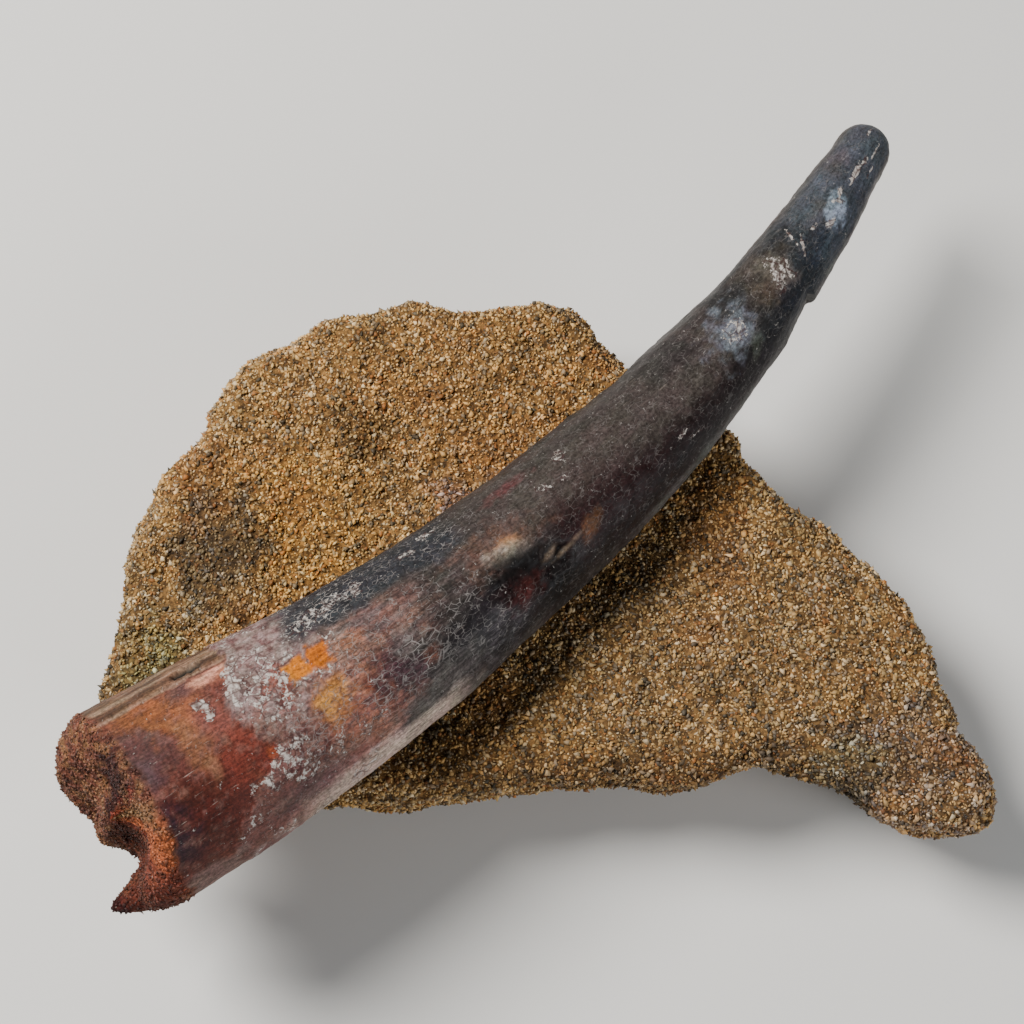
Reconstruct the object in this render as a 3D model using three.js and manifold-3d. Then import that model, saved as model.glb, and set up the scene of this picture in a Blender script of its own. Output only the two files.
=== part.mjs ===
// Fossil tooth of a spinosaur, lying on the loose slab of coarse sandstone it came from.
// Millimetres, +Z up, +X to the right and +Y away from someone who looks down on it.
// The origin is the middle of the flat bedding patch that the slab rests on.

import * as THREE from 'three';
import { mergeVertices } from 'three/addons/utils/BufferGeometryUtils.js';
import Module from 'manifold-3d';

// Driving dimensions of the tooth

// Middle line seen from above, from the broken root to the tip.
const TOOTH_LINE = [
  [-58.6, -33.1], [-49.2, -27.2], [-39.8, -21.1], [-30.6, -14.7], [-21.8, -7.8], [-13.3, -0.6],
  [-5.0, 7.0], [3.0, 15.1], [10.6, 23.7], [17.8, 32.7], [23.6, 41.3], [28.8, 50.0], [33.1, 57.2],
];
// Half width seen from above, at equal steps along the middle line.
const TOOTH_HALF_WIDTHS = [12.6, 12.1, 11.5, 10.7, 9.8, 9.0, 8.3, 7.6, 6.7, 5.8, 5.0, 4.1, 3.2];
const TOOTH_FLATNESS = 0.88;
const ROOT_AXIS_HEIGHT = 30.0;
const TIP_AXIS_HEIGHT = 24.2;
const TIP_ROUNDING = 3.4;
const TOOTH_MESH = { sides: 44, rings: 50 };
const TOOTH_LUMPS = { depth: 0.22, size: 9 };

// Broken root end: how far it stands out past the first station, across the tooth.
const BREAK_PROFILE = [
  [-12.9, -0.6], [-12.4, 2.0], [-10.8, 4.4], [-8.7, 5.6], [-5.9, 5.2], [-3.0, 4.2], [-1.1, 4.8], [0.0, 4.5],
  [1.4, 2.9], [3.3, 1.9], [5.2, 1.9], [6.6, 2.6], [7.6, 3.6], [9.4, 4.7], [11.1, 4.2], [12.0, 3.0], [12.7, 0.2],
];
// Between these shares of its half height the break is cut back to the first station.
const BREAK_BEVEL = { from: -0.3, to: 1 };
// The unevenness of the break fades out over this length of the wall.
const BREAK_FADE = 16;
const BREAK_RING_SHARES = [0.22, 0.44, 0.62, 0.8];
// The pulp cavity in the middle of the break, filled to just below the dentine around it.
const PULP = { from: 0.47, to: 0.72, depth: 0.8 };
// A pointed splinter of the wall, low on the outer side.
const SPUR = { across: 7.8, up: -6.6, length: 4.2, width: 1.9 };

// Damage on the crown: a stepped chip on the outer edge and a dent with a raised lip.
// Places are millimetres along the middle line and degrees around it, 0 outer curve and 90 top.
const CHIP = { along: 106, turn: 0, depth: 0.9, length: 7, spread: 38 };
const DENT = { along: 54, turn: 55, depth: 1.0, length: 5.5, spread: 24 };
const LIP = { along: 54, turn: 80, depth: -0.5, length: 4, spread: 14 };
const KEEL_HEIGHT = 0.35;
const KEEL_SPREAD = 13;

// Driving dimensions of the slab

// Outline at its widest, seen from above, anticlockwise from the lower left corner.
const SLAB_OUTLINE = [
  [-63.4, -18.5], [-58, -24.3], [-48, -28.1], [-36.5, -28.8], [-27.5, -29.2], [-20.8, -28.8],
  [-12.4, -27.8], [-6.4, -27], [0, -26.7], [6.6, -27.3], [10, -26.8], [13.8, -25.2],
  [18.5, -24.8], [24, -26.2], [29.4, -28.6], [32.8, -31.4], [36.2, -32.5], [40.6, -33],
  [44.2, -32.4], [46, -29.4], [45.5, -26.2], [43.6, -23.3], [41.3, -20.8], [41.2, -17.8],
  [39.6, -13.3], [39.4, -10.9], [37.2, -7], [36, -4.2], [33.4, -1.8], [31.4, 0.6],
  [28.8, 2], [27.6, 4.2], [24.3, 6.7], [20.9, 9.2], [18.7, 12], [15, 15],
  [15, 17.2], [13.2, 19.3], [8.6, 23.1], [1, 27], [-2.4, 30.9], [-4.6, 34.5],
  [-7.6, 36.1], [-13.6, 36.1], [-20.4, 35], [-26.8, 36.8], [-30.6, 34.6], [-37.5, 34],
  [-42.4, 29.7], [-46.3, 29.4], [-49.1, 24.1], [-52.3, 17.9], [-54.5, 16.1], [-57.6, 12.6],
  [-58.6, 8.9], [-61.2, 5.2], [-62, 1.4], [-61.8, -2.6], [-62.9, -9], [-64.4, -14.6],
];
// Line that the slab's rings of points close in on.
const SLAB_SPINE = [[-38, 3], [28, -17]];
const SLAB_HEIGHT = 20.4;
// How much the top bed falls for each millimetre from the spine towards the front and the right.
const SLAB_FALL = { front: 0.05, right: 0.06 };
const SLAB_SIDES = 104;
const TOP_RINGS = 9;
const BROW_WIDTH = 2.5;
const TOP_RELIEF = { depth: 1.1, size: 15 };
const FINE_RELIEF = { depth: 0.4, size: 5 };
const EDGE_RELIEF = { depth: 1.1, size: 5 };
// Side of the slab from its brow down: share of the height, and how far it stands in or out.
const SIDE_PROFILE = [
  [0.97, -1.3], [0.88, -0.3], [0.76, 0], [0.7, -0.9], [0.52, -0.7], [0.46, -1.9], [0.3, -2.6], [0.14, -5],
];
// Underside from its edge in: share of the way out to the foot of the side, and height.
const UNDER_PROFILE = [[0.92, 1.6], [0.83, 0.7], [0.74, 0], [0.38, 0]];

// The hollow that the tooth lies in: its clearance and how finely it is faceted.
const SEAT_GAP = 0.42;
const SEAT_MESH = { sides: 24, rings: 30 };

const wasm = await Module();
wasm.setup();

// A repeatable number from 0 to 1 for a whole-number place in space.
function scatter(x, y, z) {
  let mixed = (x * 374761393 + y * 668265263 + z * 2147483647) | 0;
  mixed = Math.imul(mixed ^ (mixed >>> 13), 1274126177);
  mixed ^= mixed >>> 16;
  return (mixed >>> 0) / 4294967295;
}

// Smooth unevenness between -1 and 1, with bumps as long as the size.
function unevenness(point, size) {
  const scaled = point.clone().divideScalar(size);
  const base = scaled.clone().floor();
  const part = scaled.sub(base);
  let sum = 0;
  for (let corner = 0; corner < 8; corner += 1) {
    const step = new THREE.Vector3(corner & 1, (corner >> 1) & 1, corner >> 2);
    const share = ['x', 'y', 'z'].reduce((product, key) => {
      const eased = part[key] * part[key] * (3 - 2 * part[key]);
      return product * (step[key] ? eased : 1 - eased);
    }, 1);
    sum += share * scatter(base.x + step.x, base.y + step.y, base.z + step.z);
  }
  return 2 * sum - 1;
}

// Straight-line reading of a list of [place, value] pairs.
function readProfile(pairs, place) {
  const last = pairs.length - 1;
  if (place <= pairs[0][0]) return pairs[0][1];
  if (place >= pairs[last][0]) return pairs[last][1];
  const index = pairs.findIndex(([start]) => start > place);
  const [[from, low], [to, high]] = [pairs[index - 1], pairs[index]];
  return low + ((high - low) * (place - from)) / (to - from);
}

// A closed mesh from rings of points: a middle point, the rings in order, and a last middle point.
function closedSurface(firstPoint, rings, lastPoint) {
  const sides = rings[0].length;
  const points = [firstPoint, ...rings.flat(), lastPoint];
  const faces = [];
  for (let side = 0; side < sides; side += 1) {
    const next = (side + 1) % sides;
    faces.push(0, 1 + side, 1 + next);
    for (let ring = 0; ring + 1 < rings.length; ring += 1) {
      const near = 1 + ring * sides;
      const far = near + sides;
      faces.push(near + side, far + side, far + next);
      faces.push(near + side, far + next, near + next);
    }
    const edge = 1 + (rings.length - 1) * sides;
    faces.push(points.length - 1, edge + next, edge + side);
  }
  const geometry = new THREE.BufferGeometry();
  geometry.setAttribute('position', new THREE.Float32BufferAttribute(points.flatMap((p) => p.toArray()), 3));
  geometry.setIndex(faces);
  return geometry;
}

function toSolid(geometry) {
  const merged = mergeVertices(geometry, 1e-5);
  const mesh = new wasm.Mesh({
    numProp: 3,
    vertProperties: new Float32Array(merged.attributes.position.array),
    triVerts: new Uint32Array(merged.index.array),
  });
  return new wasm.Manifold(mesh);
}

function toGeometry(solid) {
  const mesh = solid.getMesh();
  const geometry = new THREE.BufferGeometry();
  geometry.setAttribute('position', new THREE.BufferAttribute(mesh.vertProperties, 3));
  geometry.setIndex(new THREE.BufferAttribute(mesh.triVerts, 1));
  geometry.computeVertexNormals();
  return geometry;
}

// The tooth's middle line in space, and its length

const toothHeights = TOOTH_LINE.map((_, index) =>
  THREE.MathUtils.lerp(ROOT_AXIS_HEIGHT, TIP_AXIS_HEIGHT, index / (TOOTH_LINE.length - 1)));
const toothCurve = new THREE.CatmullRomCurve3(
  TOOTH_LINE.map(([x, y], index) => new THREE.Vector3(x, y, toothHeights[index])), false, 'centripetal');
const TOOTH_LENGTH = toothCurve.getLength();
const halfWidths = new THREE.SplineCurve(
  TOOTH_HALF_WIDTHS.map((half, index) => new THREE.Vector2(index / (TOOTH_HALF_WIDTHS.length - 1), half)));

// A place on the middle line; past the root it runs on straight.
function toothStation(along) {
  const share = THREE.MathUtils.clamp(along / TOOTH_LENGTH, 0, 1);
  const forward = toothCurve.getTangentAt(share);
  const middle = toothCurve.getPointAt(share);
  if (along < 0) middle.addScaledVector(forward, along);
  const outward = new THREE.Vector3(forward.y, -forward.x, 0).normalize();
  const upward = new THREE.Vector3().crossVectors(outward, forward).normalize();
  return { middle, outward, upward };
}

function toothHalfWidth(along) {
  const share = THREE.MathUtils.clamp(along / TOOTH_LENGTH, 0, 1);
  const taper = halfWidths.getPoint(share).y;
  const intoTip = (along - (TOOTH_LENGTH - TIP_ROUNDING)) / TIP_ROUNDING;
  return intoTip > 0 ? taper * Math.sqrt(Math.max(0, 1 - intoTip * intoTip)) : taper;
}

// A rounded hollow, or a rise where its depth is negative, at a place along and around the tooth.
function hollow(mark, along, turn) {
  const off = THREE.MathUtils.euclideanModulo(turn - mark.turn + 180, 360) - 180;
  const reach = ((along - mark.along) / mark.length) ** 2 + (off / mark.spread) ** 2;
  return reach < 1 ? mark.depth * (1 - reach) ** 2 : 0;
}

// The chip ends in a sharp step on its tip side and runs out gently towards the root.
function chipDepth(along, turn) {
  const before = CHIP.along - along;
  if (before < 0 || before > CHIP.length) return 0;
  const off = THREE.MathUtils.euclideanModulo(turn - CHIP.turn + 180, 360) - 180;
  const across = Math.max(0, 1 - (off / CHIP.spread) ** 2);
  return CHIP.depth * (1 - before / CHIP.length) * across;
}

// A low cutting edge runs along the outer and the inner curve of the crown.
function keelRise(turn) {
  return [0, 180].reduce((rise, ridge) => {
    const off = THREE.MathUtils.euclideanModulo(turn - ridge + 180, 360) - 180;
    return rise + KEEL_HEIGHT * Math.exp(-((off / KEEL_SPREAD) ** 2));
  }, 0);
}

// One point of the tooth. Turn 0 is the outer curve, 90 the top, 180 the inner curve.
function toothPoint(along, turn, share, grow) {
  const { middle, outward, upward } = toothStation(along);
  const half = toothHalfWidth(along);
  const angle = THREE.MathUtils.degToRad(turn);
  const keel = (keelRise(turn) * half) / TOOTH_HALF_WIDTHS[0];
  const damage = hollow(DENT, along, turn) + hollow(LIP, along, turn) + chipDepth(along, turn);
  const wide = share * (half + keel - damage + grow);
  const tall = share * (half * TOOTH_FLATNESS - damage + grow);
  const point = middle.addScaledVector(outward, wide * Math.cos(angle));
  point.addScaledVector(upward, tall * Math.sin(angle));
  const lump = TOOTH_LUMPS.depth * share * unevenness(point, TOOTH_LUMPS.size);
  return point.addScaledVector(outward, lump * Math.cos(angle)).addScaledVector(upward, lump * Math.sin(angle));
}

// How far the break stands out past the first station, at a share of the way out to the wall.
function breakReach(turn, share) {
  const angle = THREE.MathUtils.degToRad(turn);
  const across = share * TOOTH_HALF_WIDTHS[0] * Math.cos(angle);
  const up = share * TOOTH_HALF_WIDTHS[0] * TOOTH_FLATNESS * Math.sin(angle);
  const cutBack = THREE.MathUtils.smoothstep(share * Math.sin(angle), BREAK_BEVEL.from, BREAK_BEVEL.to);
  const spurOff = ((across - SPUR.across) ** 2 + (up - SPUR.up) ** 2) / SPUR.width ** 2;
  const pulp = PULP.depth * (1 - THREE.MathUtils.smoothstep(share, PULP.from, PULP.to));
  return readProfile(BREAK_PROFILE, across) * (1 - cutBack) + SPUR.length * Math.exp(-spurOff) - pulp;
}

// The whole tooth: rings across the break, then along the wall, drawing closer towards the tip.
function toothGeometry(mesh, grow) {
  const turns = Array.from({ length: mesh.sides }, (_, side) => (360 * side) / mesh.sides);
  const rings = BREAK_RING_SHARES.map((share) => turns.map((turn) =>
    toothPoint(-breakReach(turn, share) - grow, turn, share, 0)));
  for (let ring = 0; ring < mesh.rings; ring += 1) {
    const even = ring / mesh.rings;
    const nominal = (TOOTH_LENGTH * (even + Math.sin((even * Math.PI) / 2))) / 2;
    const hold = 1 - THREE.MathUtils.smoothstep(nominal, 0, BREAK_FADE);
    rings.push(turns.map((turn) =>
      toothPoint(nominal - hold * (breakReach(turn, 1) + grow), turn, 1, grow)));
  }
  const first = toothPoint(-breakReach(0, 0) - grow, 0, 0, 0);
  const last = toothStation(TOOTH_LENGTH).middle;
  last.addScaledVector(toothCurve.getTangentAt(1), grow);
  return closedSurface(first, rings, last);
}

// The slab

const slabOutline = new THREE.CatmullRomCurve3(
  SLAB_OUTLINE.map(([x, y]) => new THREE.Vector3(x, y, 0)), true, 'catmullrom', 0.35);

const slabSpine = new THREE.Line3(...SLAB_SPINE.map(([x, y]) => new THREE.Vector3(x, y, 0)));

// Height of the top bed: level along the spine, uneven and falling a little away from it.
function slabTop(point) {
  const flat = new THREE.Vector3(point.x, point.y, 0);
  const away = flat.clone().sub(slabSpine.closestPointToPoint(flat, true, new THREE.Vector3()));
  const fall = SLAB_FALL.front * Math.max(0, -away.y) + SLAB_FALL.right * Math.max(0, away.x);
  const coarse = TOP_RELIEF.depth * unevenness(flat, TOP_RELIEF.size);
  const fine = FINE_RELIEF.depth * unevenness(flat, FINE_RELIEF.size);
  return SLAB_HEIGHT - fall + (coarse + fine) * THREE.MathUtils.smoothstep(away.length(), 2, 10);
}

// Points of the rim, each with the nearest point of the spine and the way out from it.
function slabRim() {
  return slabOutline.getSpacedPoints(SLAB_SIDES).slice(0, SLAB_SIDES).map((edge) => {
    const inner = slabSpine.closestPointToPoint(edge, true, new THREE.Vector3());
    const width = edge.distanceTo(inner);
    return { edge, inner, width, outward: edge.clone().sub(inner).normalize() };
  });
}

// The whole slab: the top bed from the spine out, the sides down, and the underside back in.
function slabGeometry() {
  const rim = slabRim();
  const topRings = Array.from({ length: TOP_RINGS }, (_, ring) => rim.map(({ inner, width, outward }) => {
    const reach = ((width - BROW_WIDTH) * (ring + 1)) / TOP_RINGS;
    const point = inner.clone().addScaledVector(outward, reach);
    return point.setZ(slabTop(point));
  }));
  const sideRings = SIDE_PROFILE.map(([share, out]) => rim.map(({ edge, outward }) => {
    const bed = edge.clone().setZ(2 * SLAB_HEIGHT * share);
    const rough = EDGE_RELIEF.depth * unevenness(bed, EDGE_RELIEF.size) * Math.min(1, 10 * (1 - share));
    const point = edge.clone().addScaledVector(outward, out + rough);
    return point.setZ(share * slabTop(point) + rough / 2);
  }));
  const footInset = -SIDE_PROFILE[SIDE_PROFILE.length - 1][1];
  const underRings = UNDER_PROFILE.map(([share, height]) => rim.map(({ inner, width, outward }) => {
    const point = inner.clone().addScaledVector(outward, share * (width - footInset));
    return point.setZ(height * (1 + unevenness(point, EDGE_RELIEF.size) / 2));
  }));
  const middle = slabSpine.getCenter(new THREE.Vector3());
  const top = middle.clone().setZ(slabTop(middle));
  return closedSurface(top, [...topRings, ...sideRings, ...underRings], middle);
}

const toothMaterial = new THREE.MeshStandardMaterial({ color: 0x5d4944, roughness: 0.42, metalness: 0 });
const slabMaterial = new THREE.MeshStandardMaterial({ color: 0xa98956, roughness: 0.95, metalness: 0 });

function makeTooth() {
  const tooth = new THREE.Mesh(toGeometry(toSolid(toothGeometry(TOOTH_MESH, 0))), toothMaterial);
  tooth.name = 'tooth';
  return tooth;
}

// The slab is worn to a shallow hollow under the tooth.
function makeSlab() {
  const seat = toSolid(toothGeometry(SEAT_MESH, SEAT_GAP));
  const slab = new THREE.Mesh(toGeometry(toSolid(slabGeometry()).subtract(seat)), slabMaterial);
  slab.name = 'sandstone_slab';
  return slab;
}

const fossil = new THREE.Group();
fossil.add(makeTooth(), makeSlab());

export default fossil;
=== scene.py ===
import math

import bpy
import numpy as np
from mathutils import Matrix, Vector
from mathutils.bvhtree import BVHTree


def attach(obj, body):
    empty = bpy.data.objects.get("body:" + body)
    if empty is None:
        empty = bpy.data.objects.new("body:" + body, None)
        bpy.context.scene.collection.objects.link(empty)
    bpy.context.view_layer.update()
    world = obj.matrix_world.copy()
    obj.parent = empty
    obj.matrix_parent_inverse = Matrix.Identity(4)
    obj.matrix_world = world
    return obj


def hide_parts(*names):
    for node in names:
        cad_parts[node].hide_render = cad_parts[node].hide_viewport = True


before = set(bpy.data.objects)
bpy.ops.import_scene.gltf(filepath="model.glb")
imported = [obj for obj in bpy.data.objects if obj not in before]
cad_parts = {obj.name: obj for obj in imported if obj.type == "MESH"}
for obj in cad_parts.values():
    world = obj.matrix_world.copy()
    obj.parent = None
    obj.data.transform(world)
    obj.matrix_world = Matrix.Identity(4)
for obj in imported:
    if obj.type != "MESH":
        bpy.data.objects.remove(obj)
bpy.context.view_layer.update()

# Everything below is in millimetres, turned into metres when a mesh is made.
MM = 0.001

# Camera and stage
CAMERA_TARGET = (-13.5, 7.0, 20.0)
CAMERA_DISTANCE = 450.0
CAMERA_ELEVATION = math.radians(72)
CAMERA_LENS = 126.56
CAMERA_REACH_METRES = 10.0
FLOOR_SIZE = 3000.0
FLOOR_HEIGHT = -0.05
FLOOR_COLOUR = "d8d6d2"
FLOOR_ROUGHNESS = 0.8
SKY = {"colour": (0.9, 0.95, 1, 1), "strength": 0.12}
LIGHT_TARGET = (-10, 0, 20)
LIGHT_SIZE = 300.0
LIGHTS = [
    # name, place, watts and colour
    ("key", (-340, 145, 490), 7.2, (1, 0.98, 0.95)),
    ("fill", (360, -300, 220), 1.6, (0.94, 0.97, 1)),
]

# The tooth, on the same driving dimensions as the solid
TOOTH_LINE = [
    (-58.6, -33.1), (-49.2, -27.2), (-39.8, -21.1), (-30.6, -14.7), (-21.8, -7.8), (-13.3, -0.6),
    (-5.0, 7.0), (3.0, 15.1), (10.6, 23.7), (17.8, 32.7), (23.6, 41.3), (28.8, 50.0), (33.1, 57.2),
]
TOOTH_HALF_WIDTHS = [12.6, 12.1, 11.5, 10.7, 9.8, 9.0, 8.3, 7.6, 6.7, 5.8, 5.0, 4.1, 3.2]
TOOTH_FLATNESS = 0.88
ROOT_AXIS_HEIGHT = 30.0
TIP_AXIS_HEIGHT = 24.2
TIP_ROUNDING = 3.4
LUMP_DEPTH = 0.22
LUMP_SIZE = 9.0
KEEL_HEIGHT = 0.35
KEEL_SPREAD = 13.0
BREAK_PROFILE = [
    (-12.9, -0.6), (-12.4, 2.0), (-10.8, 4.4), (-8.7, 5.6), (-5.9, 5.2), (-3.0, 4.2), (-1.1, 4.8), (0.0, 4.5),
    (1.4, 2.9), (3.3, 1.9), (5.2, 1.9), (6.6, 2.6), (7.6, 3.6), (9.4, 4.7), (11.1, 4.2), (12.0, 3.0),
    (12.7, 0.2),
]
BREAK_BEVEL = {"from": -0.3, "to": 1.0}
BREAK_FADE = 16.0
BREAK_ROUNDING = 0.9
PULP = {"from": 0.47, "to": 0.72, "depth": 0.8}
SPUR = {"across": 7.8, "up": -6.6, "length": 4.2, "width": 1.9}
CHIP = {"along": 106, "length": 7, "turn": 2, "spread": 38}

# Fine relief of the tooth, in mm outwards
RELIEF = {
    "fibres": 0.05, "flutes": 0.035, "lumps": 0.1, "bumps": 0.05, "grain": 0.03, "enamel": 0.22,
    "hollow": -0.95, "ridge": 0.7, "crease": 0.05, "chip": -1.05, "shell": 0.16, "groove": -0.2,
    "hole": -0.7, "flaked": -0.08,
}
BREAK_RELIEF = {"coarse": 0.22, "fine": 0.1}

# How finely the tooth is drawn, and the share of its map that the break takes
TOOTH_SIDES = 176
BREAK_RINGS = 30
WALL_RINGS = 440
TIP_RINGS = 24
BREAK_MAP_SHARE = 0.12
MAP_MARGIN = 0.001

# Cells of the tooth's lattice, fine net, crust and grit, for each mm
LATTICE_CELLS = 0.85
NET_CELLS = 1.6
CRUST_CELLS = 0.7
GRIT_CELLS = 2.1
TOOTH_SPECULAR = 0.13
MEAN_GIRTH = 0.94

# Grit on the break
GRIT_SEED = 11
GRIT_SPACING = 0.36
GRIT_RADIUS = (0.14, 0.32)
GRIT_TINT = (0.6, 1.5)
GRIT_SINK = (-0.6, 0.2)

# The sandstone
STONE_COLOUR = "a67f4a"
STONE_CELLS = 2.0
STONE_SPECULAR = 0.3
VOXEL = 0.62
SOFTENING = {"factor": 0.5, "steps": 8}
STONE_RELIEF = {"broad": 0.34, "narrow": 0.2, "beds": 0.42, "pits": -0.5, "under": 1.6}
NEAR_TOOTH = 3.0
LEAST_GAP = 0.5
UNDERSIDE_LIGHTER = 2.0
SAND_SEED = 7
GRAIN_SPACING = 0.28
GRAIN_SPACING_UNDER = 0.46
GRAIN_RADIUS = (0.16, 0.42)
GRAIN_UNEVENNESS = 0.24
GRAIN_SQUASH = [(0.9, 1.6), (0.7, 1.15), (0.6, 1.05)]
GRAIN_SINK = (-0.5, 0.35)
GRAIN_SHADE = (0.68, 1.26)
GRAIN_TRIES = 20
GRAINS_PER_PIECE = 24000
PORE_LEVEL = 0.55
LOST_GRAINS = 0.04


# Numbers and noise

def scatter(cells):
    """A repeatable number from 0 to 1 for each whole-number place in space."""
    mixed = cells[:, 0] * 374761393 + cells[:, 1] * 668265263 + cells[:, 2] * 2147483647
    mixed &= 0xFFFFFFFF
    mixed = ((mixed ^ (mixed >> 13)) * 1274126177) & 0xFFFFFFFF
    return (mixed ^ (mixed >> 16)) / 4294967295


def unevenness(points, size):
    """The solid's own smooth unevenness between -1 and 1, with bumps as long as the size."""
    scaled = points / size
    base = np.floor(scaled)
    part = scaled - base
    eased = part * part * (3 - 2 * part)
    total = np.zeros(len(points))
    for corner in range(8):
        step = np.array([corner & 1, corner >> 1 & 1, corner >> 2])
        share = np.prod(np.where(step, eased, 1 - eased), axis=1)
        total += share * scatter(base.astype(np.int64) + step)
    return 2 * total - 1


GRADIENTS = np.array([(x, y, z) for x in (-1, 0, 1) for y in (-1, 0, 1) for z in (-1, 0, 1)
                      if abs(x) + abs(y) + abs(z) == 2], float)


def noise(points, size, seed=0):
    """Gradient noise, about -1 to 1."""
    scaled = points / size + np.array([0.37, 0.71, 0.13]) * (seed + 1)
    base = np.floor(scaled)
    part = scaled - base
    eased = part ** 3 * (part * (part * 6 - 15) + 10)
    cells = base.astype(np.int64) + np.array([31, 17, 57]) * (seed + 1)
    total = np.zeros(len(points))
    for corner in range(8):
        step = np.array([corner & 1, corner >> 1 & 1, corner >> 2])
        share = np.prod(np.where(step, eased, 1 - eased), axis=1)
        way = GRADIENTS[(scatter(cells + step) * 11.999).astype(int)]
        total += share * np.sum(way * (part - step), axis=1)
    return total * 1.1


def layered(points, size, layers=4, seed=0, gain=0.55):
    """Several sizes of noise on top of one another, about -1 to 1."""
    total = np.zeros(len(points))
    for layer in range(layers):
        total += gain ** layer * noise(points, size / 2 ** layer, seed + layer)
    return total


def ease(value, low, high):
    part = np.clip((value - low) / (high - low), 0, 1)
    return part * part * (3 - 2 * part)


def linear(code):
    """A colour's hexadecimal code as linear light."""
    parts = np.array([int(code[i:i + 2], 16) for i in (0, 2, 4)]) / 255
    return np.where(parts <= 0.04045, parts / 12.92, ((parts + 0.055) / 1.055) ** 2.4)


# Meshes and node materials

def make_object(name, points, faces):
    """A smooth mesh of triangles or quads, given in millimetres."""
    mesh = bpy.data.meshes.new(name)
    corners = len(faces[0])
    mesh.vertices.add(len(points))
    mesh.vertices.foreach_set("co", (np.asarray(points, float) * MM).ravel())
    mesh.loops.add(len(faces) * corners)
    mesh.loops.foreach_set("vertex_index", np.asarray(faces, np.int32).ravel())
    mesh.polygons.add(len(faces))
    mesh.polygons.foreach_set("loop_start", np.arange(len(faces), dtype=np.int32) * corners)
    mesh.update(calc_edges=True)
    mesh.validate()
    mesh.polygons.foreach_set("use_smooth", np.full(len(mesh.polygons), True))
    made = bpy.data.objects.new(name, mesh)
    bpy.context.scene.collection.objects.link(made)
    return made


def store(mesh, name, values):
    """Keeps one number, one colour or, for the lay, one place for each vertex."""
    values = np.asarray(values, float)
    if values.ndim == 1:
        mesh.attributes.new(name, "FLOAT", "POINT").data.foreach_set("value", values)
    elif name == "lay":
        mesh.attributes.new(name, "FLOAT_VECTOR", "POINT").data.foreach_set("vector", values.ravel())
    else:
        filled = np.column_stack([values, np.ones(len(values))])
        mesh.attributes.new(name, "FLOAT_COLOR", "POINT").data.foreach_set("color", filled.ravel())


class Looks:
    """Builds the nodes of one material; every call gives back the socket that it makes."""

    def __init__(self, name):
        self.material = bpy.data.materials.new(name)
        self.material.use_nodes = True
        self.tree = self.material.node_tree
        self.shader = self.tree.nodes["Principled BSDF"]

    def plug(self, socket, value):
        if isinstance(value, bpy.types.NodeSocket):
            self.tree.links.new(value, socket)
        elif hasattr(value, "__len__") and len(value) == 3 and socket.type == "RGBA":
            socket.default_value = (*value, 1)
        else:
            socket.default_value = value

    def node(self, kind, out=0, inputs=(), **settings):
        made = self.tree.nodes.new(kind)
        for key, value in settings.items():
            setattr(made, key, value)
        for key, value in dict(inputs).items():
            self.plug(made.inputs[key], value)
        return made.outputs[out]

    def kept(self, name, out="Fac"):
        return self.node("ShaderNodeAttribute", out, attribute_name=name)

    def calc(self, operation, first, second=0.0, third=0.0):
        return self.node("ShaderNodeMath", 0, {0: first, 1: second, 2: third}, operation=operation)

    def times(self, first, second):
        return self.calc("MULTIPLY", first, second)

    def plus(self, first, second):
        return self.calc("ADD", first, second)

    def from_middle(self, value):
        """How far noise lies above its middle value."""
        return self.calc("SUBTRACT", value, 0.5)

    def scaled(self, vector, scale):
        return self.node("ShaderNodeVectorMath", 0, {0: vector, 1: scale}, operation="MULTIPLY")

    def noise(self, vector, scale, detail=3.0, rough=0.55, out="Fac"):
        inputs = {"Vector": vector, "Scale": scale, "Detail": detail, "Roughness": rough}
        return self.node("ShaderNodeTexNoise", out, inputs)

    def cells(self, vector, scale, feature="DISTANCE_TO_EDGE", out="Distance"):
        return self.node("ShaderNodeTexVoronoi", out, {"Vector": vector, "Scale": scale}, feature=feature)

    def ranged(self, value, low, high, to_low=0.0, to_high=1.0):
        inputs = {"Value": value, "From Min": low, "From Max": high, "To Min": to_low, "To Max": to_high}
        return self.node("ShaderNodeMapRange", "Result", inputs, interpolation_type="SMOOTHSTEP")

    def mix(self, share, first, second, blend="MIX"):
        made = self.tree.nodes.new("ShaderNodeMix")
        made.data_type = "RGBA"
        made.blend_type = blend
        for index, value in ((0, share), (6, first), (7, second)):
            self.plug(made.inputs[index], value)
        return made.outputs[2]

    def marked(self, colour, mask, strength, code):
        """The colour with marks of one colour on it."""
        return self.mix(self.times(mask, strength), colour, linear(code))

    def toned(self, colour, share, low, high):
        """The colour times one that runs from low to high."""
        return self.mix(1.0, colour, self.mix(share, low, high), "MULTIPLY")

    def place(self):
        """Places in millimetres."""
        return self.scaled(self.node("ShaderNodeNewGeometry", "Position"), (1 / MM, 1 / MM, 1 / MM))

    def cell_share(self, vector, scale):
        """A number of its own for each cell."""
        return self.node("ShaderNodeSeparateColor", 0, {0: self.cells(vector, scale, "F1", "Color")})

    def bump(self, height, strength, distance):
        inputs = {"Height": height, "Strength": strength, "Distance": distance}
        return self.node("ShaderNodeBump", 0, inputs)

    def finish(self, colour, roughness, normal, specular):
        self.plug(self.shader.inputs["Base Color"], colour)
        self.plug(self.shader.inputs["Roughness"], roughness)
        self.plug(self.shader.inputs["Normal"], normal)
        self.shader.inputs["Specular IOR Level"].default_value = specular
        return self.material


# The tooth's middle line

line = np.column_stack([TOOTH_LINE, np.linspace(ROOT_AXIS_HEIGHT, TIP_AXIS_HEIGHT, len(TOOTH_LINE))])
line_ends = np.vstack([2 * line[0] - line[1], line, 2 * line[-1] - line[-2]])


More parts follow.
